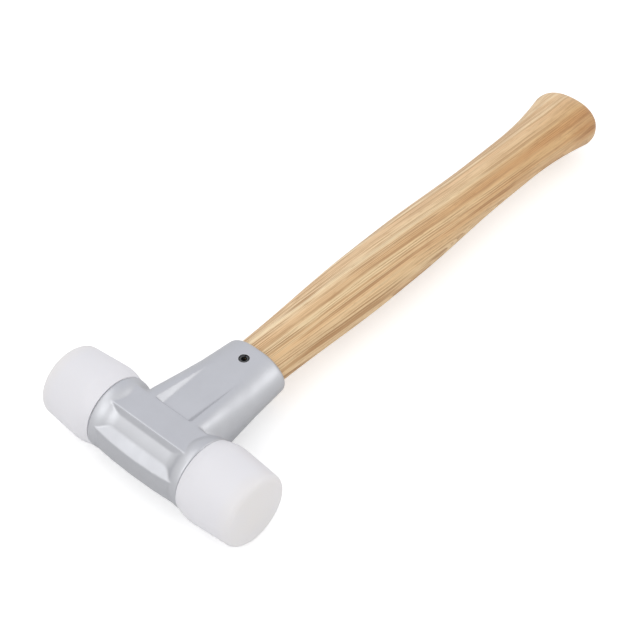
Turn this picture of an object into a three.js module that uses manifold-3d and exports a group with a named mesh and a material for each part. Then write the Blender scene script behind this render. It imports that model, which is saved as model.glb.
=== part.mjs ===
// Soft-face hammer: a die-cast zinc head with two replaceable nylon faces, on an ash handle
// that a slotted spring pin holds in the neck of the head.
// Millimetres, +Z up. The head lies along Y and the handle along +X. The origin is under the
// middle of the hammer, on the surface that it lies on.
import * as THREE from 'three';
import { mergeVertices } from 'three/addons/utils/BufferGeometryUtils.js';
import Module from 'manifold-3d';

const wasm = await Module();
wasm.setup();

// Whole head
const headLength = 120;
const fitGap = 0.3;
const wallDraft = THREE.MathUtils.degToRad(20);

// Barrel: a round body with a waist, from rim to rim
const barrelLength = 56.6;
const rimDiameter = 36.8;
const rimRise = 3.4;
const rimBand = 0.8;
const rimChamfer = 0.6;
const flareLength = 11.2;
const waistDiameter = rimDiameter - 2 * rimRise;

// Blind bores that take the faces
const boreWall = 4;
const boreDepth = 15;
const boreLeadIn = 0.8;
const boreDiameter = waistDiameter - 2 * boreWall;

// Raised pads on the waist: one above, one below and one in front
const padInset = 2.8;
const padLength = barrelLength - 2 * padInset;
const topPadRise = 1.7;
const topPadFront = 6.1;
const topPadBack = 9.5;
const topPadHeight = waistDiameter / 2 + topPadRise;
const frontPadRise = 3.3;
const frontPadCrown = 1.5;
const frontPadHeight = 12.8;
const frontPadReach = waistDiameter / 2 + frontPadRise;

// Neck: a tapering socket for the handle
const neckReach = 65.3;
const neckMouthWidth = 35.8;
const neckMouthHeight = 23.2;
const neckMouthFlat = 5;
const neckRootAt = 15;
const neckRootWidth = 43.5;
const neckRootFlat = 27;
const neckShoulder = 45;
const mouthLip = 2.4;
const mouthWallSide = 3.5;
const mouthWallTop = 1.9;

// Handle: an oval tenon, a grip, a throat and a knob
const handleReach = 254.2;
const handleOval = 2.3;
const tenonLength = 50;
const tenonTaper = 4.8;
const tenonWidth = neckMouthWidth - 2 * (mouthWallSide + fitGap);
const tenonHeight = neckMouthHeight - 2 * (mouthWallTop + fitGap);
const gripWidth = 32.4;
const gripHeight = 24.6;
const gripLength = 24;
const gripFromMouth = 78.5;
const throatWidth = 28.4;
const throatHeight = 21.6;
const throatLength = 23;
const throatFromEnd = 58;
const knobWidth = 38.4;
const knobHeight = 26.4;
const knobDome = 11.2;
const knobDomeOval = 2.85;
const knobFlare = 2.1;

// Recess in the neck's upper and lower side, between two tapering ridges
const recessDepth = 3;
const recessFloorWidth = 15.6;
const recessEndWidth = 18.8;
const recessDraft = THREE.MathUtils.degToRad(51);

// Slotted spring pin through the neck and the tenon
const pinDiameter = 5;
const pinWall = 1;
const pinSlot = 1;
const pinChamfer = 0.4;
const pinRecess = 0.4;
const pinFromMouth = 9.7;

// Nylon faces
const faceDiameter = 40;
const faceSkirt = 6.3;
const skirtCorner = 2;
const strikeDiameter = 36.4;
const strikeCorner = 2.5;
const spigotEndGap = 1;
const spigotLength = boreDepth - spigotEndGap;
const spigotChamfer = 1;
const ribCount = 8;
const ribRadius = 0.9;
const ribHeight = 0.4;

// How finely round surfaces are faceted
const roundSteps = 64;
const pinSteps = 32;
const ovalSteps = 40;
const neckSteps = 14;
const arcSteps = 5;
const easeSteps = 8;

// Solids

function solid(geometry) {
  const bare = geometry.clone();
  bare.deleteAttribute('normal');
  bare.deleteAttribute('uv');
  const merged = mergeVertices(bare);
  const index = merged.index.array;
  const triangles = [];
  for (let i = 0; i < index.length; i += 3) {
    const [a, b, c] = index.slice(i, i + 3);
    if (a !== b && b !== c && c !== a) triangles.push(a, b, c);
  }
  return new wasm.Manifold(new wasm.Mesh({
    numProp: 3,
    vertProperties: new Float32Array(merged.attributes.position.array),
    triVerts: new Uint32Array(triangles),
  }));
}

function namedMesh(name, body, material) {
  const { vertProperties, triVerts } = body.getMesh();
  const geometry = new THREE.BufferGeometry();
  geometry.setAttribute('position', new THREE.BufferAttribute(vertProperties, 3));
  geometry.setIndex(new THREE.BufferAttribute(triVerts, 1));
  geometry.computeVertexNormals();
  const mesh = new THREE.Mesh(geometry, material);
  mesh.name = name;
  return mesh;
}

function point(x, y) {
  return new THREE.Vector2(x, y);
}

function arc(centreX, centreY, radius, from, to) {
  const points = [];
  for (let i = 0; i <= arcSteps; i += 1) {
    const angle = from + ((to - from) * i) / arcSteps;
    points.push(point(centreX + radius * Math.cos(angle), centreY + radius * Math.sin(angle)));
  }
  return points;
}

// A geometry of revolution about Y, from a profile of radius and height.
function revolve(profile, steps = roundSteps) {
  return new THREE.LatheGeometry(profile, steps);
}

// A closed skin over rings that all have the same number of points.
function loft(rings) {
  const count = rings[0].length;
  const last = (rings.length - 1) * count;
  const index = [];
  for (let start = 0; start < last; start += count) {
    for (let i = 0; i < count; i += 1) {
      const a = start + i;
      const b = start + ((i + 1) % count);
      index.push(a, b, a + count, b, b + count, a + count);
    }
  }
  for (let i = 1; i + 1 < count; i += 1) {
    index.push(0, i + 1, i, last, last + i, last + i + 1);
  }
  const geometry = new THREE.BufferGeometry().setFromPoints(rings.flat());
  geometry.setIndex(index);
  return geometry;
}

// A prism along Y, centred, over an outline of [x, z] pairs.
function prismAlongY(outline, length) {
  const shape = new THREE.Shape(outline.map(([x, z]) => point(x, z)));
  const geometry = new THREE.ExtrudeGeometry(shape, { depth: length, bevelEnabled: false });
  geometry.translate(0, 0, -length / 2);
  geometry.rotateX(Math.PI / 2);
  return geometry;
}

// The same solid twice, the second turned half round about X.
function onBothSides(geometry) {
  return solid(geometry).add(solid(geometry.clone().rotateX(Math.PI)));
}

function mix(from, to, share) {
  return from + (to - from) * share;
}

// Barrel

function barrel() {
  const end = barrelLength / 2;
  const rim = rimDiameter / 2;
  const waist = waistDiameter / 2;
  const rise = rim - waist;
  const bend = (flareLength ** 2 + rise ** 2) / (4 * rise);
  const sweep = Math.asin(flareLength / 2 / bend);
  const bandStart = end - rimChamfer - rimBand;
  const half = [
    ...arc(waist + bend, bandStart - flareLength, bend, Math.PI, Math.PI - sweep),
    ...arc(rim - bend, bandStart, bend, -sweep, 0).slice(1),
    point(rim, end - rimChamfer),
    point(rim - rimChamfer, end),
    point(0, end),
  ];
  const otherHalf = half.map(({ x, y }) => point(x, -y)).reverse();
  return solid(revolve([...otherHalf, ...half]));
}

function faceBores() {
  const mouth = barrelLength / 2;
  const radius = boreDiameter / 2;
  return onBothSides(revolve([
    point(0, mouth - boreDepth),
    point(radius, mouth - boreDepth),
    point(radius, mouth - boreLeadIn),
    point(radius + 2 * boreLeadIn, mouth + boreLeadIn),
    point(0, mouth + boreLeadIn),
  ]));
}

// Pads

// The head's upper side is one flat that slopes from the pad's front edge to the neck's shoulder
// and runs level from there to the mouth.
function topAt(x) {
  const level = neckMouthHeight / 2;
  const slope = (topPadHeight - level) / (neckShoulder + topPadFront);
  return level + slope * Math.max(0, neckShoulder - x);
}

function topAndBottomPads() {
  const lean = Math.tan(wallDraft);
  const back = topAt(topPadBack);
  return onBothSides(prismAlongY([
    [-topPadFront - topPadHeight * lean, 0],
    [topPadBack + back * lean, 0],
    [topPadBack, back],
    [-topPadFront, topPadHeight],
  ], padLength));
}

function frontPad() {
  const half = frontPadHeight / 2;
  const foot = half + frontPadReach * Math.tan(wallDraft);
  const drafted = prismAlongY([
    [-frontPadReach, -half],
    [0, -foot],
    [0, foot],
    [-frontPadReach, half],
  ], padLength);
  const end = padLength / 2;
  const plan = new THREE.Shape();
  plan.moveTo(0, -end);
  plan.lineTo(0, end);
  plan.lineTo(frontPadCrown - frontPadReach, end);
  plan.quadraticCurveTo(-frontPadCrown - frontPadReach, 0, frontPadCrown - frontPadReach, -end);
  const crowned = new THREE.ExtrudeGeometry(plan, {
    depth: 2 * foot,
    bevelEnabled: false,
    curveSegments: 2 * arcSteps,
  });
  crowned.translate(0, 0, -foot);
  return solid(drafted).intersect(solid(crowned));
}

// Neck

// A ring across the neck at x: flat above and below, rounded down to the sides.
function neckRing(x, drawnIn) {
  const height = topAt(x) - drawnIn;
  const toRoot = (neckReach - x) / (neckReach - neckRootAt);
  const side = mix(neckMouthWidth, neckRootWidth, Math.min(1, toRoot)) / 2 - drawnIn;
  const flat = mix(neckMouthFlat, neckRootFlat, Math.min(1, toRoot)) / 2;
  const quarter = [];
  for (let i = 0; i <= neckSteps; i += 1) {
    const angle = (Math.PI / 2) * (i / neckSteps);
    quarter.push([flat + (side - flat) * Math.cos(angle), height * Math.sin(angle)]);
  }
  const back = quarter.slice().reverse();
  return [
    ...quarter.map(([y, z]) => [y, z]),
    ...back.map(([y, z]) => [-y, z]),
    ...quarter.slice(1).map(([y, z]) => [-y, -z]),
    ...back.slice(0, -1).map(([y, z]) => [y, -z]),
  ].map(([y, z]) => new THREE.Vector3(x, y, z));
}

function neck() {
  const rings = [neckRing(0, 0), neckRing(neckRootAt, 0), neckRing(neckShoulder, 0)];
  for (let i = 0; i <= arcSteps; i += 1) {
    const angle = (Math.PI / 2) * (i / arcSteps);
    rings.push(neckRing(neckReach - mouthLip * (1 - Math.sin(angle)), mouthLip * (1 - Math.cos(angle))));
  }
  return solid(loft(rings));
}

// The recess is deepest at the barrel, where its floor is narrowest, and runs out at the neck's
// shoulder.
function recesses() {
  const sideLean = Math.tan(recessDraft);
  const frontLean = Math.tan(wallDraft);
  const front = topPadBack + recessDepth * frontLean;
  const floor = topAt(topPadBack) - recessDepth;
  const corners = (lift) => {
    const nearX = front - lift * frontLean;
    const nearHalf = recessFloorWidth / 2 + lift * sideLean;
    const farHalf = recessEndWidth / 2 + lift * sideLean;
    return [
      new THREE.Vector3(nearX, -nearHalf, floor + lift),
      new THREE.Vector3(neckShoulder, -farHalf, topAt(neckShoulder) + lift),
      new THREE.Vector3(neckShoulder, farHalf, topAt(neckShoulder) + lift),
      new THREE.Vector3(nearX, nearHalf, floor + lift),
    ];
  };
  return onBothSides(loft([corners(0), corners(2 * recessDepth)]));
}

// Socket, tenon and pin hole

function ovalRing(x, width, height) {
  const ring = [];
  for (let i = 0; i < ovalSteps; i += 1) {
    const angle = (2 * Math.PI * i) / ovalSteps;
    const across = Math.sign(Math.cos(angle)) * Math.abs(Math.cos(angle)) ** (2 / handleOval);
    const upward = Math.sign(Math.sin(angle)) * Math.abs(Math.sin(angle)) ** (2 / handleOval);
    ring.push(new THREE.Vector3(x, (across * width) / 2, (upward * height) / 2));
  }
  return ring;
}

function tenonRing(fromMouth, clearance) {
  const share = fromMouth / tenonLength;
  const growth = 2 * clearance - tenonTaper * share;
  return ovalRing(neckReach - fromMouth, tenonWidth + growth, tenonHeight + growth);
}

function pinHole() {
  const radius = pinDiameter / 2 + fitGap;
  const hole = new THREE.CylinderGeometry(radius, radius, 2 * neckMouthHeight, pinSteps);
  hole.rotateX(Math.PI / 2);
  hole.translate(neckReach - pinFromMouth, 0, 0);
  return solid(hole);
}

// Pieces

function headHousing() {
  const socket = loft([tenonRing(tenonLength + fitGap, fitGap), tenonRing(-fitGap, fitGap)]);
  return barrel()
    .add(topAndBottomPads())
    .add(frontPad())
    .add(neck())
    .subtract(recesses())
    .subtract(faceBores())
    .subtract(solid(socket))
    .subtract(pinHole());
}

function nylonFace() {
  const seat = barrelLength / 2 + fitGap;
  const strike = headLength / 2;
  const widest = faceDiameter / 2;
  const striking = strikeDiameter / 2;
  const spigot = boreDiameter / 2 - fitGap;
  const core = spigot - ribHeight;
  const seatRadius = rimDiameter / 2;
  const skirtEnd = seat + faceSkirt;
  const taper = Math.atan2(widest - striking, strike - strikeCorner - skirtEnd);
  const flare = Math.atan2(widest - seatRadius, faceSkirt);
  const body = revolve([
    point(0, seat - spigotLength),
    point(core - spigotChamfer, seat - spigotLength),
    point(core, seat - spigotLength + spigotChamfer),
    point(core, seat),
    point(seatRadius, seat),
    ...arc(widest - skirtCorner, skirtEnd, skirtCorner, -flare, taper),
    ...arc(striking - strikeCorner, strike - strikeCorner, strikeCorner, taper, Math.PI / 2),
    point(0, strike),
  ]);
  const ribLength = spigotLength - spigotChamfer;
  const ribs = [];
  for (let i = 0; i < ribCount; i += 1) {
    const angle = (2 * Math.PI * i) / ribCount;
    const rib = new THREE.CylinderGeometry(ribRadius, ribRadius, ribLength, 2 * arcSteps);
    rib.translate(spigot - ribRadius, seat - ribLength / 2 + fitGap, 0);
    rib.rotateY(angle);
    ribs.push(solid(rib));
  }
  return ribs.reduce((face, rib) => face.add(rib), solid(body));
}

function handle() {
  const end = neckReach + handleReach;
  const knob = end - knobDome;
  const gripEnd = neckReach + gripFromMouth + gripLength;
  const throatEnd = end - throatFromEnd;
  const smooth = (share) => share ** 2 * (3 - 2 * share);
  const rings = [tenonRing(tenonLength, 0), tenonRing(0, 0)];
  let from = [neckReach, tenonWidth, tenonHeight];
  const runTo = (to, ease) => {
    for (let i = 1; i <= easeSteps; i += 1) {
      const share = i / easeSteps;
      const size = ease(share);
      rings.push(ovalRing(mix(from[0], to[0], share), mix(from[1], to[1], size), mix(from[2], to[2], size)));
    }
    from = to;
  };
  runTo([gripEnd - gripLength, gripWidth, gripHeight], smooth);
  from = [gripEnd, gripWidth, gripHeight];
  rings.push(ovalRing(...from));
  runTo([throatEnd - throatLength, throatWidth, throatHeight], smooth);
  from = [throatEnd, throatWidth, throatHeight];
  rings.push(ovalRing(...from));
  runTo([knob, knobWidth, knobHeight], (share) => share ** knobFlare);
  for (let i = 1; i <= easeSteps; i += 1) {
    const angle = (Math.PI / 2) * (i / (easeSteps + 0.5));
    const size = Math.cos(angle) ** (2 / knobDomeOval);
    const along = Math.sin(angle) ** (2 / knobDomeOval);
    rings.push(ovalRing(knob + knobDome * along, knobWidth * size, knobHeight * size));
  }
  return solid(loft(rings)).subtract(pinHole());
}

function handlePin() {
  const half = neckMouthHeight / 2 - pinRecess;
  const outer = pinDiameter / 2;
  const inner = outer - pinWall;
  const tube = revolve([
    point(inner, -half),
    point(outer - pinChamfer, -half),
    point(outer, -half + pinChamfer),
    point(outer, half - pinChamfer),
    point(outer - pinChamfer, half),
    point(inner, half),
    point(inner, -half),
  ], pinSteps);
  const slot = new THREE.BoxGeometry(pinDiameter, 2 * neckMouthHeight, pinSlot);
  slot.translate(pinDiameter / 2, 0, 0);
  return solid(tube).subtract(solid(slot));
}

// Assembly

const zinc = new THREE.MeshStandardMaterial({ color: 0xb9bcc2, roughness: 0.45, metalness: 0.9 });
const nylon = new THREE.MeshStandardMaterial({ color: 0xe6e5e9, roughness: 0.5, metalness: 0 });
const ash = new THREE.MeshStandardMaterial({ color: 0xdcbc95, roughness: 0.6, metalness: 0 });
const darkSteel = new THREE.MeshStandardMaterial({ color: 0x2c2c2c, roughness: 0.5, metalness: 0.8 });

const hammer = new THREE.Group();
const head = new THREE.Group();
const rightFace = namedMesh('right_face', nylonFace(), nylon.clone());
rightFace.rotation.x = Math.PI;
const pin = namedMesh('handle_pin', handlePin(), darkSteel);
pin.rotation.x = Math.PI / 2;
pin.position.x = neckReach - pinFromMouth;
head.add(namedMesh('head_housing', headHousing(), zinc));
head.add(namedMesh('left_face', nylonFace(), nylon), rightFace);
head.add(namedMesh('handle', handle(), ash), pin);
hammer.add(head);

const frontReach = Math.max(frontPadReach, rimDiameter / 2, faceDiameter / 2);
head.position.set((frontReach - neckReach - handleReach) / 2, 0, Math.max(faceDiameter, knobHeight) / 2);

export default hammer;
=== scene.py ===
import math
import bmesh
import bpy
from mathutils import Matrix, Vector


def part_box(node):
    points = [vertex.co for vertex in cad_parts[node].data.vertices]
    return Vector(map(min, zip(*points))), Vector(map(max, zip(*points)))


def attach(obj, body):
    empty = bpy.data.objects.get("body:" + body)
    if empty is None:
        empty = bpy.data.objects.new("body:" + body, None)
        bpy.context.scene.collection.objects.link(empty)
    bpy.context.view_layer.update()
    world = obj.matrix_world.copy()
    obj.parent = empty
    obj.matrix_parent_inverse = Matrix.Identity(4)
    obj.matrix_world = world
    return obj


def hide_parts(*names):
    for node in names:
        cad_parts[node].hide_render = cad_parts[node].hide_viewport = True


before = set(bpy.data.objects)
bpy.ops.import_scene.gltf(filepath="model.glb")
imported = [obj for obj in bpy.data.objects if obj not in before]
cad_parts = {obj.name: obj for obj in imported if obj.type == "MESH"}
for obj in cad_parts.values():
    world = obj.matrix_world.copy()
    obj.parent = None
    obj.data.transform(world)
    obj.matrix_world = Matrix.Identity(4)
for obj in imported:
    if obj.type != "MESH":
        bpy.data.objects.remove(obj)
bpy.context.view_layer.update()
mm = 0.001
weld = 0.004 * mm  # points nearer than this are one
leftLow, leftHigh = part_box("left_face")
headAt = Vector(((leftLow.x + leftHigh.x) / 2, 0, (leftLow.z + leftHigh.z) / 2))  # where the two axes meet
print("frame loaded:", ", ".join(sorted(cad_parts)))


def fromHead(x, y, z):  # a place in mm from where the head's axis meets the handle's
    return headAt + Vector((x, y, z)) * mm


def pickOnly(piece):
    bpy.ops.object.select_all(action="DESELECT")
    piece.select_set(True)
    bpy.context.view_layer.objects.active = piece


def nameNew(name):
    piece = bpy.context.object
    piece.name = piece.data.name = name
    return piece


def drawLine(name, places):  # edges drawn by extruding one vertex from place to place
    bpy.ops.object.select_all(action="DESELECT")
    bpy.ops.mesh.primitive_plane_add(size=mm)
    piece = nameNew(name)
    bpy.ops.object.mode_set(mode="EDIT")
    bpy.ops.mesh.select_all(action="SELECT")
    bpy.ops.mesh.merge(type="CENTER")
    bpy.ops.transform.translate(value=places[0])
    for before, after in zip(places, places[1:]):
        bpy.ops.mesh.extrude_vertices_move(TRANSFORM_OT_translate={"value": after - before})
    return piece


def roundCorner(piece, place, reach, steps):  # bevels the one vertex at a place
    mesh = bmesh.from_edit_mesh(piece.data)
    for spot in mesh.verts:
        spot.select = (spot.co - place).length < 0.02 * mm
    mesh.select_flush_mode()
    bmesh.update_edit_mesh(piece.data)
    bpy.ops.mesh.bevel(affect="VERTICES", offset_type="ABSOLUTE", offset=reach * mm, segments=steps)


def spinAll(centre, axis, steps, angle=2 * math.pi):
    bpy.ops.mesh.select_all(action="SELECT")
    bpy.ops.mesh.spin(steps=steps, angle=angle, center=centre, axis=axis)
    bpy.ops.mesh.select_all(action="SELECT")
    bpy.ops.mesh.remove_doubles(threshold=weld)
    bpy.ops.mesh.normals_make_consistent(inside=False)
    bpy.ops.object.mode_set(mode="OBJECT")


def startOval(name, station, fullness, steps):  # a filled oval across the handle, left selected in edit mode
    bpy.ops.object.select_all(action="DESELECT")
    bpy.ops.mesh.primitive_circle_add(vertices=steps, radius=1, fill_type="NGON")
    piece = nameNew(name)
    x, width, height = station
    for spot in piece.data.vertices:
        across = math.copysign(abs(spot.co.x) ** (2 / fullness), spot.co.x)
        upward = math.copysign(abs(spot.co.y) ** (2 / fullness), spot.co.y)
        spot.co = fromHead(x, across * width / 2, upward * height / 2)
    bpy.ops.object.mode_set(mode="EDIT")
    bpy.ops.mesh.select_all(action="SELECT")
    return piece


def growOval(stations):  # the selected oval, extruded and resized through the stations
    for before, after in zip(stations, stations[1:]):
        bpy.ops.mesh.extrude_region_move(
            TRANSFORM_OT_translate={"value": ((after[0] - before[0]) * mm, 0, 0)})
        bpy.ops.transform.resize(
            value=(1, after[1] / before[1], after[2] / before[2]), center_override=fromHead(after[0], 0, 0))
    bpy.ops.mesh.select_all(action="SELECT")
    bpy.ops.mesh.normals_make_consistent(inside=False)
    bpy.ops.object.mode_set(mode="OBJECT")


def joinInto(piece, others):
    pickOnly(piece)
    for other in others:
        other.select_set(True)
    bpy.ops.object.join()


def applied(piece, kind, **settings):  # one modifier, set and applied
    step = piece.modifiers.new(kind.lower(), kind)
    for name, value in settings.items():
        setattr(step, name, value)
    pickOnly(piece)
    bpy.ops.object.modifier_apply(modifier=step.name)


def cutAway(piece, tool):
    applied(piece, "BOOLEAN", operation="DIFFERENCE", solver="EXACT", object=tool)
    bpy.data.objects.remove(tool)


def smoothed(piece, degrees):
    pickOnly(piece)
    bpy.ops.object.shade_smooth_by_angle(angle=math.radians(degrees))


def settle(piece, body, node, material):  # where a finished piece belongs and what it is made of
    piece.data.materials.clear()
    piece.data.materials.append(material)
    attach(piece, body)
    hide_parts(node)
    print(piece.name, "done:", len(piece.data.polygons), "faces")


def toLinear(hexColour):
    shares = [int(hexColour[i:i + 2], 16) / 255 for i in (1, 3, 5)]
    return (*[s / 12.92 if s <= 0.04045 else ((s + 0.055) / 1.055) ** 2.4 for s in shares], 1)


def addNode(tree, kind, links, give=0, stops=(), **settings):  # a node set, linked and asked for one output
    node = tree.nodes.new("ShaderNode" + kind)
    for name, value in settings.items():
        setattr(node, name, value)
    for socket, source in links.items():
        if isinstance(source, bpy.types.NodeSocket):
            tree.links.new(source, node.inputs[socket])
        else:
            node.inputs[socket].default_value = source
    for i, (at, colour) in enumerate(stops):
        if i >= len(node.color_ramp.elements):
            node.color_ramp.elements.new(1)
        node.color_ramp.elements[i].position = at
        node.color_ramp.elements[i].color = toLinear(colour)
    return node.outputs[give]


def startMaterial(name):
    material = bpy.data.materials.new(name)
    material.use_nodes = True
    tree = material.node_tree
    place = addNode(tree, "TexCoord", {}, "Object")
    return material, tree, tree.nodes["Principled BSDF"], place


def perMetre(millimetres):  # a texture scale from the real size of what it draws
    return 1 / (millimetres * mm)


def alongGrain(size):  # a pattern's scale from its real size along and across the grain
    return (perMetre(size[0]), perMetre(size[1]), perMetre(size[1]))


zincLook = {
    "colour": "#c6c7cb", "dull": "#bdbec2", "roughness": (0.42, 0.5),
    "patch": 14, "grit": 0.7, "gritHeight": 0.02,
}


def shotBlastedZinc():  # die-cast zinc, shot-blasted: a pale satin grey with a fine even tooth
    look = zincLook
    material, tree, shader, place = startMaterial("shot_blasted_zinc")
    patch = addNode(tree, "TexNoise", {
        "Vector": place, "Scale": perMetre(look["patch"]), "Detail": 3, "Roughness": 0.55})
    tone = addNode(tree, "Mix", {
        0: patch, 6: toLinear(look["colour"]), 7: toLinear(look["dull"])}, 2, data_type="RGBA")
    low, high = look["roughness"]
    rough = addNode(tree, "MapRange", {
        "Value": patch, "From Min": 0.3, "From Max": 0.7, "To Min": low, "To Max": high})
    grit = addNode(tree, "TexNoise", {  # real grit is 0.2 mm, drawn coarser so that it shows
        "Vector": place, "Scale": perMetre(look["grit"]), "Detail": 2, "Roughness": 0.6})
    bump = addNode(tree, "Bump", {"Height": grit, "Strength": 0.5, "Distance": look["gritHeight"] * mm})
    tree.links.new(tone, shader.inputs["Base Color"])
    tree.links.new(rough, shader.inputs["Roughness"])
    tree.links.new(bump, shader.inputs["Normal"])
    shader.inputs["Metallic"].default_value = 1
    return material


nylonLook = {
    "colour": "#dfdee2", "tinted": "#e1ddd9", "tintFrom": 52, "tintTo": 60, "cloud": 20,
    "roughness": 0.42, "ior": 1.53, "glow": 0.3, "glowDepth": 2.5, "skin": 1.6, "skinHeight": 0.02,
}


def mouldedNylon():  # natural nylon, injection moulded: milky white, faintly see-through, softly glossy
    look = nylonLook
    material, tree, shader, place = startMaterial("moulded_nylon")
    alongY = addNode(tree, "SeparateXYZ", {"Vector": place}, "Y")
    fromMiddle = addNode(tree, "Math", {0: alongY}, operation="ABSOLUTE")
    # a warmer tint towards both striking ends, broken up in soft clouds
    tinted = addNode(tree, "MapRange", {
        "Value": fromMiddle, "From Min": look["tintFrom"] * mm, "From Max": look["tintTo"] * mm})
    cloud = addNode(tree, "TexNoise", {"Vector": place, "Scale": perMetre(look["cloud"]), "Detail": 2})
    tintedHere = addNode(tree, "Math", {0: tinted, 1: cloud}, operation="MULTIPLY")
    tone = addNode(tree, "Mix", {
        0: tintedHere, 6: toLinear(look["colour"]), 7: toLinear(look["tinted"])}, 2, data_type="RGBA")
    skin = addNode(tree, "TexNoise", {
        "Vector": place, "Scale": perMetre(look["skin"]), "Detail": 2, "Roughness": 0.5})
    bump = addNode(tree, "Bump", {"Height": skin, "Strength": 0.4, "Distance": look["skinHeight"] * mm})
    tree.links.new(tone, shader.inputs["Base Color"])
    tree.links.new(bump, shader.inputs["Normal"])
    shader.inputs["Roughness"].default_value = look["roughness"]
    shader.inputs["IOR"].default_value = look["ior"]
    shader.inputs["Subsurface Weight"].default_value = look["glow"]
    shader.inputs["Subsurface Radius"].default_value = (1, 0.95, 0.9)
    shader.inputs["Subsurface Scale"].default_value = look["glowDepth"] * mm
    return material


ashLook = {
    "late": "#e4c196", "mid": "#eacca3", "early": "#f0d9b3", "line": "#a0703e", "pore": "#aa7f50",
    # sideShade is painted shade, multiplied into the handle's lower-right side
    "sideShade": "#f1ece2", "golden": "#e6d0b4", "streak": "#b98a5c",
    "pith": (0, -68, 2), "lean": (0, 0.5, 3), "drift": (90, 12), "driftReach": 3,
    "year": 5, "lineGap": 2.3, "lineWidth": 0.08, "lineRun": (60, 5), "lineShare": 0.7,
    "fineGap": 0.8, "fineWidth": 0.1, "fineRun": (30, 3), "fineShare": 0.45,
    "lineFade": (-80, 150), "fadeTo": 0.5,
    "fibre": (50, 0.8), "fibreShade": (0.89, 1.07), "poreSize": (6, 0.4), "poreShare": 0.45, "relief": 0.06,
    "patch": (120, 30), "patchShare": (0.7, 1.2), "roughness": 0.5, "ior": 1.5,
    # sideShadeAcross: where the painted shade begins and where it is full, across the handle
    "sideShadeAcross": (6, -5), "goldenAlong": (-15, 150), "goldenAcross": (2, -7), "goldenUp": (19.5, 26),
    "streakAlong": (143, 152), "streakAcross": (-11, -13.5), "streakShare": 0.25,
}


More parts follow.
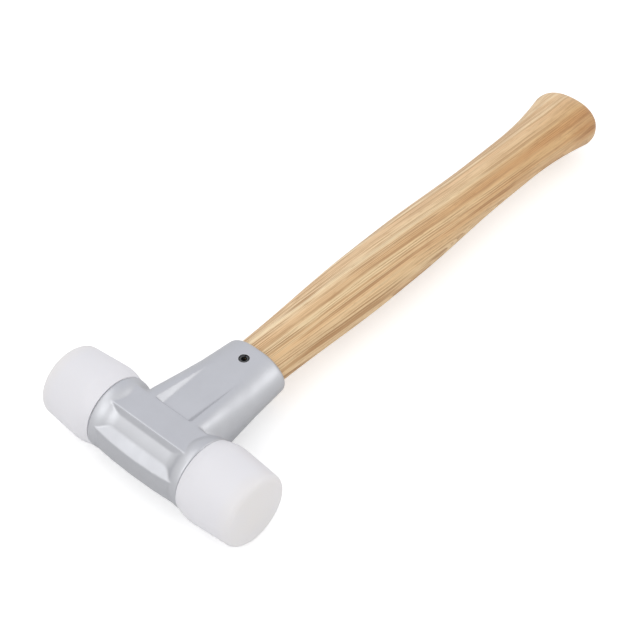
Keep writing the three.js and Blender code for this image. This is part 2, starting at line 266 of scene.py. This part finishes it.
def oiledAsh():  # ash along the grain, sanded and oiled: pale wood, uneven brown year lines, pores and fibres
    look = ashLook
    material, tree, shader, place = startMaterial("oiled_ash")
    grain = addNode(tree, "Mapping", {  # the grain runs out a little to the right
        "Vector": place, "Rotation": [math.radians(turn) for turn in look["lean"]]})
    pith = [mm * away for away in look["pith"]]
    offset = addNode(tree, "VectorMath", {0: grain, 1: pith}, operation="SUBTRACT")
    across = addNode(tree, "VectorMath", {0: offset, 1: (0, 1, 1)}, operation="MULTIPLY")
    fromPith = addNode(tree, "VectorMath", {0: across}, "Value", operation="LENGTH")
    driftAt = addNode(tree, "Mapping", {"Vector": grain, "Scale": alongGrain(look["drift"])})
    drift = addNode(tree, "TexNoise", {"Vector": driftAt, "Scale": 1, "Detail": 2})
    reach = look["driftReach"] * mm
    depth = addNode(tree, "Math", {0: drift, 1: reach, 2: fromPith}, operation="MULTIPLY_ADD")
    # broad bands of paler and darker years
    yearAt = addNode(tree, "Math", {0: depth, 1: perMetre(look["year"])}, operation="MULTIPLY")
    year = addNode(tree, "TexNoise", {
        "W": yearAt, "Scale": 1, "Detail": 3, "Roughness": 0.6}, noise_dimensions="1D")
    tone = addNode(tree, "ValToRGB", {"Fac": year}, stops=(
        (0.3, look["late"]), (0.48, look["mid"]), (0.68, look["early"])))
    alongX = addNode(tree, "SeparateXYZ", {"Vector": place}, "X")
    acrossY = addNode(tree, "SeparateXYZ", {"Vector": place}, "Y")
    upZ = addNode(tree, "SeparateXYZ", {"Vector": place}, "Z")
    fade = addNode(tree, "MapRange", {
        "Value": alongX, "From Min": look["lineFade"][0] * mm, "From Max": look["lineFade"][1] * mm,
        "To Min": 1, "To Max": look["fadeTo"]})
    # thin dark lines at uneven distances, a few strong and finer ones between, that come and go
    for gap, width, run, start, share in (
            (look["lineGap"], look["lineWidth"], look["lineRun"], 7.3, look["lineShare"]),
            (look["fineGap"], look["fineWidth"], look["fineRun"], 2.9, look["fineShare"])):
        lineAt = addNode(tree, "Math", {0: depth, 1: perMetre(gap), 2: start}, operation="MULTIPLY_ADD")
        layer = addNode(tree, "TexNoise", {"W": lineAt, "Scale": 1, "Detail": 0}, noise_dimensions="1D")
        nearLine = addNode(tree, "Math", {0: layer, 1: 0.5, 2: width}, operation="COMPARE")
        runAt = addNode(tree, "Mapping", {
            "Vector": grain, "Location": (start, 0, 0), "Scale": alongGrain(run)})
        runNoise = addNode(tree, "TexNoise", {"Vector": runAt, "Scale": 1, "Detail": 2, "Roughness": 0.6})
        runs = addNode(tree, "MapRange", {
            "Value": runNoise, "From Min": 0.38, "From Max": 0.58, "To Min": 0, "To Max": share})
        lineHere = addNode(tree, "Math", {0: nearLine, 1: runs}, operation="MULTIPLY")
        lineHere = addNode(tree, "Math", {0: lineHere, 1: fade}, operation="MULTIPLY")
        tone = addNode(tree, "Mix", {0: lineHere, 6: tone, 7: toLinear(look["line"])}, 2, data_type="RGBA")
    # pale and dark fibres, and the open pores among them
    fibreAt = addNode(tree, "Mapping", {"Vector": grain, "Scale": alongGrain(look["fibre"])})
    fibre = addNode(tree, "TexNoise", {"Vector": fibreAt, "Scale": 1, "Detail": 4, "Roughness": 0.65})
    dark, pale = look["fibreShade"]
    fibreShade = addNode(tree, "MapRange", {
        "Value": fibre, "From Min": 0.3, "From Max": 0.7, "To Min": dark, "To Max": pale})
    tone = addNode(tree, "Mix", {0: 1.0, 6: tone, 7: fibreShade}, 2, data_type="RGBA", blend_type="MULTIPLY")
    poreAt = addNode(tree, "Mapping", {"Vector": grain, "Scale": alongGrain(look["poreSize"])})
    pore = addNode(tree, "TexNoise", {"Vector": poreAt, "Scale": 1, "Detail": 2})
    pores = addNode(tree, "MapRange", {
        "Value": pore, "From Min": 0.6, "From Max": 0.74, "To Min": 0, "To Max": look["poreShare"]})
    tone = addNode(tree, "Mix", {0: pores, 6: tone, 7: toLinear(look["pore"])}, 2, data_type="RGBA")
    # paler on the left because the lower right gets painted shade, golden above and towards the knob, and a
    # brown streak at the knob's corner
    # painted shade: darker and warmer towards the lower right, away from the light, so the upper-left side
    # reads as lit
    sideShade = addNode(tree, "MapRange", {
        "Value": acrossY, "From Min": look["sideShadeAcross"][0] * mm, "From Max": look["sideShadeAcross"][1] * mm})
    tone = addNode(tree, "Mix", {
        0: sideShade, 6: tone, 7: toLinear(look["sideShade"])}, 2, data_type="RGBA", blend_type="MULTIPLY")
    golden = addNode(tree, "TexNoise", {
        "Vector": addNode(tree, "Mapping", {"Vector": grain, "Scale": alongGrain(look["patch"])}),
        "Scale": 1, "Detail": 2})
    least, most = look["patchShare"]
    golden = addNode(tree, "MapRange", {
        "Value": golden, "From Min": 0.3, "From Max": 0.7, "To Min": least, "To Max": most})
    for along, span in ((alongX, "goldenAlong"), (acrossY, "goldenAcross"), (upZ, "goldenUp")):
        part = addNode(tree, "MapRange", {
            "Value": along, "From Min": look[span][0] * mm, "From Max": look[span][1] * mm})
        golden = addNode(tree, "Math", {0: golden, 1: part}, operation="MULTIPLY", use_clamp=True)
    tone = addNode(tree, "Mix", {
        0: golden, 6: tone, 7: toLinear(look["golden"])}, 2, data_type="RGBA", blend_type="MULTIPLY")
    streak = look["streakShare"]
    for along, span in ((alongX, "streakAlong"), (acrossY, "streakAcross")):
        part = addNode(tree, "MapRange", {
            "Value": along, "From Min": look[span][0] * mm, "From Max": look[span][1] * mm})
        streak = addNode(tree, "Math", {0: part, 1: streak}, operation="MULTIPLY")
    tone = addNode(tree, "Mix", {
        0: streak, 6: tone, 7: toLinear(look["streak"])}, 2, data_type="RGBA", blend_type="MULTIPLY")
    height = addNode(tree, "Math", {0: fibre, 1: pores}, operation="SUBTRACT")
    bump = addNode(tree, "Bump", {"Height": height, "Strength": 0.35, "Distance": look["relief"] * mm})
    tree.links.new(tone, shader.inputs["Base Color"])
    tree.links.new(bump, shader.inputs["Normal"])
    shader.inputs["Roughness"].default_value = look["roughness"]
    shader.inputs["IOR"].default_value = look["ior"]
    return material


pinLook = {"colour": "#3c3d3e", "tinted": "#626363", "patch": 1.2, "roughness": 0.45}


def phosphatedSteel():  # spring steel, phosphated and oiled: a dark grey that hardly shines
    look = pinLook
    material, tree, shader, place = startMaterial("phosphated_steel")
    patch = addNode(tree, "TexNoise", {"Vector": place, "Scale": perMetre(look["patch"]), "Detail": 3})
    tone = addNode(tree, "Mix", {
        0: patch, 6: toLinear(look["colour"]), 7: toLinear(look["tinted"])}, 2, data_type="RGBA")
    tree.links.new(tone, shader.inputs["Base Color"])
    shader.inputs["Metallic"].default_value = 0.7
    shader.inputs["Roughness"].default_value = look["roughness"]
    return material


headShape = {
    "meshSize": 0.42, "softening": 4, "rimAt": 28.3,
    "boreDiameter": 22, "boreDepth": 15, "boreLeadIn": 0.8,
    "mouthAt": 65.3, "socketEnd": 15, "socketMouth": (28.8, 19.4), "socketFloor": (24, 14.6),
    "socketFullness": 2.3, "mouthFlare": 0.5,
    "pinAt": 55.6, "pinHole": 5.3, "pinFlare": 0.1, "neckHalfHeight": 11.6,
    "borePlugSpare": 1.5, "pinPlugSpare": 0.5, "socketPlugSpare": 0.3, "socketPlugSunk": 0.6,
    "blendSoftening": 25, "blendAlong": (3, 6, 61, 63.5), "blendAcross": (12.5, 15, 26, 27.5),
}


def boreTool(side):  # the bore with its flared mouth, spun about the head's axis
    shape = headShape
    radius = shape["boreDiameter"] / 2
    leadIn = shape["boreLeadIn"]
    rim = shape["rimAt"]
    outline = [(0, rim - shape["boreDepth"]), (radius, rim - shape["boreDepth"]), (radius, rim - leadIn),
               (radius + 2 * leadIn, rim + leadIn), (0, rim + leadIn)]
    tool = drawLine("bore_tool", [fromHead(0, side * y, r) for r, y in outline])
    spinAll(headAt, (0, 1, 0), 96)
    return tool


def socketTool(spare, start, flare):  # the tenon's oval with room round it, down to the socket's floor
    shape = headShape
    floorSize = [size + 2 * spare for size in shape["socketFloor"]]
    mouthSize = [size + 2 * spare for size in shape["socketMouth"]]
    stations = [(shape["socketEnd"] - spare, *floorSize), (start - flare, *mouthSize)]
    if flare:
        stations.append((start + flare, *[size + 4 * flare for size in mouthSize]))
    tool = startOval("socket_tool", stations[0], shape["socketFullness"], 96)
    growOval(stations)
    return tool


def pinTool():  # the cross hole with both edges eased
    shape = headShape
    radius = shape["pinHole"] / 2
    flare = shape["pinFlare"]
    top = shape["neckHalfHeight"]
    outline = [(0, -top - flare), (radius + 2 * flare, -top - flare), (radius, -top + flare),
               (radius, top - flare), (radius + 2 * flare, top + flare), (0, top + flare)]
    tool = drawLine("pin_tool", [fromHead(shape["pinAt"] + r, 0, z) for r, z in outline])
    spinAll(fromHead(shape["pinAt"], 0, 0), (0, 0, 1), 48)
    return tool


def plug(radius, depth, place, rotation):
    bpy.ops.object.select_all(action="DESELECT")
    bpy.ops.mesh.primitive_cylinder_add(
        vertices=64, radius=radius * mm, depth=depth * mm, location=place, rotation=rotation)
    return nameNew("plug")


def ramped(value, start, full, still, end):  # 0 outside start and end, 1 between full and still
    return max(0, min(1, (value - start) / (full - start), (end - value) / (end - still)))


def markBlend(head):  # the neck's sides and where they run into the barrel, which the mould rounds most
    group = head.vertex_groups.new(name="blend")
    for spot in head.data.vertices:
        away = (spot.co - headAt) / mm
        share = ramped(away.x, *headShape["blendAlong"]) * ramped(abs(away.y), *headShape["blendAcross"])
        if share > 0:
            group.add([spot.index], share, "REPLACE")


def makeHead():  # the casting: the solid with its holes filled, melted soft at every edge, then bored again
    shape = headShape
    bpy.ops.object.select_all(action="DESELECT")
    bpy.ops.mesh.primitive_plane_add(size=mm)
    head = nameNew("cast_head")
    head.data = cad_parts["head_housing"].data.copy()
    bpy.ops.object.mode_set(mode="EDIT")
    bpy.ops.mesh.select_all(action="SELECT")
    bpy.ops.mesh.remove_doubles(threshold=weld / 2)
    bpy.ops.object.mode_set(mode="OBJECT")
    plugDepth = shape["boreDepth"] + shape["borePlugSpare"]
    plugMiddle = shape["rimAt"] - plugDepth / 2
    quarterTurn = math.pi / 2
    plugs = [plug(shape["boreDiameter"] / 2 + shape["borePlugSpare"], plugDepth,
                  fromHead(0, side * plugMiddle, 0), (quarterTurn, 0, 0)) for side in (1, -1)]
    plugs.append(plug(shape["pinHole"] / 2 + shape["pinPlugSpare"], 2 * shape["neckHalfHeight"],
                      fromHead(shape["pinAt"], 0, 0), (0, 0, 0)))
    plugs.append(socketTool(shape["socketPlugSpare"], shape["mouthAt"] - shape["socketPlugSunk"], 0))
    joinInto(head, plugs)
    applied(head, "REMESH", mode="VOXEL", voxel_size=shape["meshSize"] * mm, adaptivity=0)
    applied(head, "SMOOTH", factor=0.5, iterations=shape["softening"])
    markBlend(head)
    applied(head, "SMOOTH", factor=0.5, iterations=shape["blendSoftening"], vertex_group="blend")
    head.vertex_groups.clear()
    for tool in (boreTool(1), boreTool(-1), socketTool(0, shape["mouthAt"], shape["mouthFlare"]), pinTool()):
        cutAway(head, tool)
    smoothed(head, 40)
    return head


faceShape = {
    "spigotEnd": 14.6, "spigotRadius": 10.3, "spigotChamfer": 1, "seat": 28.4, "seatRadius": 18.4,
    "ridge": (20.15, 34.9), "ridgeRound": 2.6, "seatRound": 0.2, "strike": (18.25, 60), "strikeRound": 3,
    "ribs": 8, "ribRadius": 0.9, "ribReach": 10.7, "ribEnd": 15.6, "ribSunk": 0.3, "steps": 128,
}


def makeFace(name, side):  # one moulding: spigot, skirt and striking end, spun about the head's axis
    shape = faceShape
    spigot, chamfer = shape["spigotRadius"], shape["spigotChamfer"]
    ridge, strike = shape["ridge"], shape["strike"]
    outline = [(0, shape["spigotEnd"]), (spigot - chamfer, shape["spigotEnd"]),
               (spigot, shape["spigotEnd"] + chamfer), (spigot, shape["seat"]),
               (shape["seatRadius"], shape["seat"]), ridge, strike, (0, strike[1])]
    places = [fromHead(0, side * y, r) for r, y in outline]
    face = drawLine(name, places)
    roundCorner(face, places[6], shape["strikeRound"], 8)
    roundCorner(face, places[5], shape["ridgeRound"], 8)
    roundCorner(face, places[4], shape["seatRound"], 3)
    spinAll(headAt, (0, 1, 0), shape["steps"])
    ribLength = shape["seat"] + shape["ribSunk"] - shape["ribEnd"]
    middle = side * (shape["ribEnd"] + ribLength / 2)
    ribs = []
    for i in range(shape["ribs"]):
        angle = 2 * math.pi * i / shape["ribs"]
        inward = shape["ribReach"] - shape["ribRadius"]
        place = fromHead(inward * math.cos(angle), middle, inward * math.sin(angle))
        ribs.append(plug(shape["ribRadius"], ribLength, place, (math.pi / 2, 0, 0)))
    joinInto(ribs[0], ribs[1:])
    applied(face, "BOOLEAN", operation="UNION", solver="EXACT", object=ribs[0])
    bpy.data.objects.remove(ribs[0])
    bpy.ops.object.mode_set(mode="EDIT")  # clears the slivers that the union leaves
    bpy.ops.mesh.select_all(action="SELECT")
    bpy.ops.mesh.remove_doubles(threshold=weld)
    bpy.ops.mesh.dissolve_degenerate(threshold=weld)
    bpy.ops.object.mode_set(mode="OBJECT")
    smoothed(face, 30)
    return face


handleShape = {
    "fullness": 2.3, "steps": 96, "tenonEnd": (15.3, 23.4, 14), "mouth": (65.3, 28.2, 18.8),
    "grip": (143.8, 32.4, 24.6), "gripLength": 24, "throat": (238.5, 28.4, 21.6), "throatLength": 23,
    "knob": (308.3, 38.4, 26.4), "knobFlare": 2.1, "dome": 11.16, "domeFullness": 2.85, "sections": 18,
}


def blendStations(before, after, count, ease):
    stations = []
    for i in range(1, count + 1):
        share = i / count
        size = ease(share)
        stations.append((before[0] + (after[0] - before[0]) * share,
                         before[1] + (after[1] - before[1]) * size,
                         before[2] + (after[2] - before[2]) * size))
    return stations


def easeBoth(share):  # level at both ends
    return share * share * (3 - 2 * share)


def makeHandle():  # one stick: tenon, swelling grip, throat and knob, drawn out of one oval
    shape = handleShape
    count = shape["sections"]
    grip, throat, knob = shape["grip"], shape["throat"], shape["knob"]
    gripEnd = (grip[0] + shape["gripLength"], *grip[1:])
    throatEnd = (throat[0] + shape["throatLength"], *throat[1:])
    stations = [shape["tenonEnd"], shape["mouth"]]
    stations += blendStations(shape["mouth"], grip, count, easeBoth)
    stations += blendStations(grip, gripEnd, 3, easeBoth)
    stations += blendStations(gripEnd, throat, count, easeBoth)
    stations += blendStations(throat, throatEnd, 3, easeBoth)
    stations += blendStations(throatEnd, knob, count, lambda share: share ** shape["knobFlare"])
    for i in range(1, count + 1):
        angle = math.pi / 2 * i / (count + 0.3)
        size = math.cos(angle) ** (2 / shape["domeFullness"])
        along = math.sin(angle) ** (2 / shape["domeFullness"])
        stations.append((knob[0] + shape["dome"] * along, knob[1] * size, knob[2] * size))
    handle = startOval("ash_handle", stations[0], shape["fullness"], shape["steps"])
    growOval(stations)
    cutAway(handle, pinTool())
    smoothed(handle, 40)
    return handle


pinShape = {"radius": 2.5, "wall": 1, "chamfer": 0.4, "halfLength": 11.2, "slot": 1, "steps": 44}


def makePin():  # a strip of steel rolled into a tube with an open slot
    shape = pinShape
    outer, chamfer, end = shape["radius"], shape["chamfer"], shape["halfLength"]
    inner = outer - shape["wall"]
    outline = [(inner, -end), (outer - chamfer, -end), (outer, chamfer - end), (outer, end - chamfer),
               (outer - chamfer, end), (inner, end)]
    halfSlot = math.asin(shape["slot"] / 2 / outer)
    middle = headShape["pinAt"]
    pin = drawLine("spring_pin", [
        fromHead(middle + r * math.cos(halfSlot), r * math.sin(halfSlot), z) for r, z in outline])
    bpy.ops.mesh.select_all(action="SELECT")
    bpy.ops.mesh.edge_face_add()
    spinAll(fromHead(middle, 0, 0), (0, 0, 1), shape["steps"], 2 * (math.pi - halfSlot))
    smoothed(pin, 30)
    return pin


zinc = shotBlastedZinc()
nylon = mouldedNylon()
ash = oiledAsh()
blackSteel = phosphatedSteel()
print("materials made")

settle(makeHead(), "head", "head_housing", zinc)
settle(makeFace("nylon_face_left", 1), "left_face", "left_face", nylon)
settle(makeFace("nylon_face_right", -1), "right_face", "right_face", nylon)
settle(makeHandle(), "head", "handle", ash)
settle(makePin(), "head", "handle_pin", blackSteel)

studio = {
    "floor": "#ececec", "floorSize": 12, "floorDrop": 0.0002, "floorGlow": (0.4, 0.02), "roomShare": 0.86,
    "coolColour": "#f9faff", "coolSide": (0.58, 0.46, 0.67), "coolFrom": 0.7, "coolTo": 0.93,
    "brightSides": (((-0.76, 0.11, 0.64), 0.75, 0.97, 0.24), ((0.52, -0.6, 0.6), 0.93, 0.99, 0.3)),
    "keySize": 0.9, "keyPower": 2.4, "keyFrom": (-0.83, -0.12, 0.93),
    "topSize": 0.6, "topPower": 1.3, "topFrom": (-0.11, 0.6, 1.15),
    "sideSize": 0.8, "sidePower": 2.2, "sideFrom": (1.0, -1.1, 1.0),
    "frontSize": 0.9, "frontPower": 1.15, "frontFrom": (0.25, -1.3, 0.6),
}


def makeFloor():  # a wide pale sweep that the hammer lies on
    bpy.ops.object.select_all(action="DESELECT")
    bpy.ops.mesh.primitive_plane_add(size=studio["floorSize"], location=(0, 0, -studio["floorDrop"]))
    floor = nameNew("studio_floor")
    material = bpy.data.materials.new("pale_paper")
    material.use_nodes = True
    tree = material.node_tree
    shader = tree.nodes["Principled BSDF"]
    shader.inputs["Base Color"].default_value = toLinear(studio["floor"])
    shader.inputs["Roughness"].default_value = 0.9
    shader.inputs["Specular IOR Level"].default_value = 0
    toEye, toShine = studio["floorGlow"]
    glow = 0.0  # a little light of its own, so that the eye sees plain white round the shadow
    rays = (("Is Camera Ray", toEye), ("Is Glossy Ray", toShine), ("Is Transmission Ray", toShine))
    for ray, strength in rays:
        seen = addNode(tree, "LightPath", {}, ray)
        glow = addNode(tree, "Math", {0: seen, 1: strength, 2: glow}, operation="MULTIPLY_ADD")
    shader.inputs["Emission Color"].default_value = (1, 1, 1, 1)
    tree.links.new(glow, shader.inputs["Emission Strength"])
    floor.data.materials.append(material)


def softBox(name, size, power, direction):  # a square panel that faces the head
    away = Vector(direction)
    bpy.ops.object.light_add(type="AREA", location=headAt + away)
    box = bpy.context.object
    box.name = name
    box.rotation_euler = away.to_track_quat("Z", "Y").to_euler()
    box.data.shape = "SQUARE"
    box.data.size = size
    box.data.energy = power
    return box


def makeLight():  # a soft box up to the left, weak ones above, to the right and in front, and a white room
    softBox("key_box", studio["keySize"], studio["keyPower"], studio["keyFrom"])
    softBox("top_box", studio["topSize"], studio["topPower"], studio["topFrom"])
    softBox("side_box", studio["sideSize"], studio["sidePower"], studio["sideFrom"])
    fill = softBox("front_box", studio["frontSize"], studio["frontPower"], studio["frontFrom"])
    fill.visible_glossy = False  # it lights the nylon's end and stays out of the metal
    world = bpy.data.worlds.new("white_room")
    bpy.context.scene.world = world
    world.use_nodes = True
    tree = world.node_tree
    towards = addNode(tree, "TexCoord", {}, "Generated")
    toCool = addNode(tree, "VectorMath", {
        0: towards, 1: studio["coolSide"]}, "Value", operation="DOT_PRODUCT")
    cool = addNode(tree, "MapRange", {
        "Value": toCool, "From Min": studio["coolFrom"], "From Max": studio["coolTo"]})
    colour = addNode(tree, "Mix", {  # a little cooler behind to the right
        0: cool, 6: (1, 1, 1, 1), 7: toLinear(studio["coolColour"])}, 2, data_type="RGBA")
    shine = 1.0  # what metal sees: an even white that is brighter to the left and the right
    for side, start, full, gain in studio["brightSides"]:
        facing = addNode(tree, "VectorMath", {0: towards, 1: side}, "Value", operation="DOT_PRODUCT")
        more = addNode(tree, "MapRange", {
            "Value": facing, "From Min": start, "From Max": full, "To Min": 0, "To Max": gain})
        shine = addNode(tree, "Math", {0: more, 1: shine}, operation="ADD")
    level = addNode(tree, "Mix", {
        0: addNode(tree, "LightPath", {}, "Is Glossy Ray"), 2: studio["roomShare"], 3: shine},
        data_type="FLOAT")
    direct = addNode(tree, "Math", {
        0: addNode(tree, "LightPath", {}, "Is Camera Ray"),
        1: addNode(tree, "LightPath", {}, "Is Transmission Ray")}, operation="MAXIMUM")
    level = addNode(tree, "Mix", {0: direct, 2: level, 3: 1.0}, data_type="FLOAT")
    room = tree.nodes["Background"]
    tree.links.new(colour, room.inputs["Color"])
    tree.links.new(level, room.inputs["Strength"])


photoView = {
    "azimuth": -48.304, "elevation": 45.657, "distance": 801.459, "aim": (106.016, -2.31, 0), "lens": 93.178,
    "sensor": 36,
}


def makeCamera():  # the photograph's own angle, for a square frame
    azimuth, elevation = math.radians(photoView["azimuth"]), math.radians(photoView["elevation"])
    back = Vector((math.sin(azimuth) * math.cos(elevation), -math.cos(azimuth) * math.cos(elevation),
                   math.sin(elevation)))
    bpy.ops.object.camera_add(location=fromHead(*photoView["aim"]) + back * photoView["distance"] * mm)
    camera = bpy.context.object
    camera.name = "photo_camera"
    camera.rotation_euler = back.to_track_quat("Z", "Y").to_euler()
    camera.data.lens = photoView["lens"]
    camera.data.sensor_width = photoView["sensor"]
    bpy.context.scene.camera = camera


makeFloor()
makeLight()
makeCamera()
bpy.context.scene.view_settings.view_transform = "Standard"
print("studio ready")
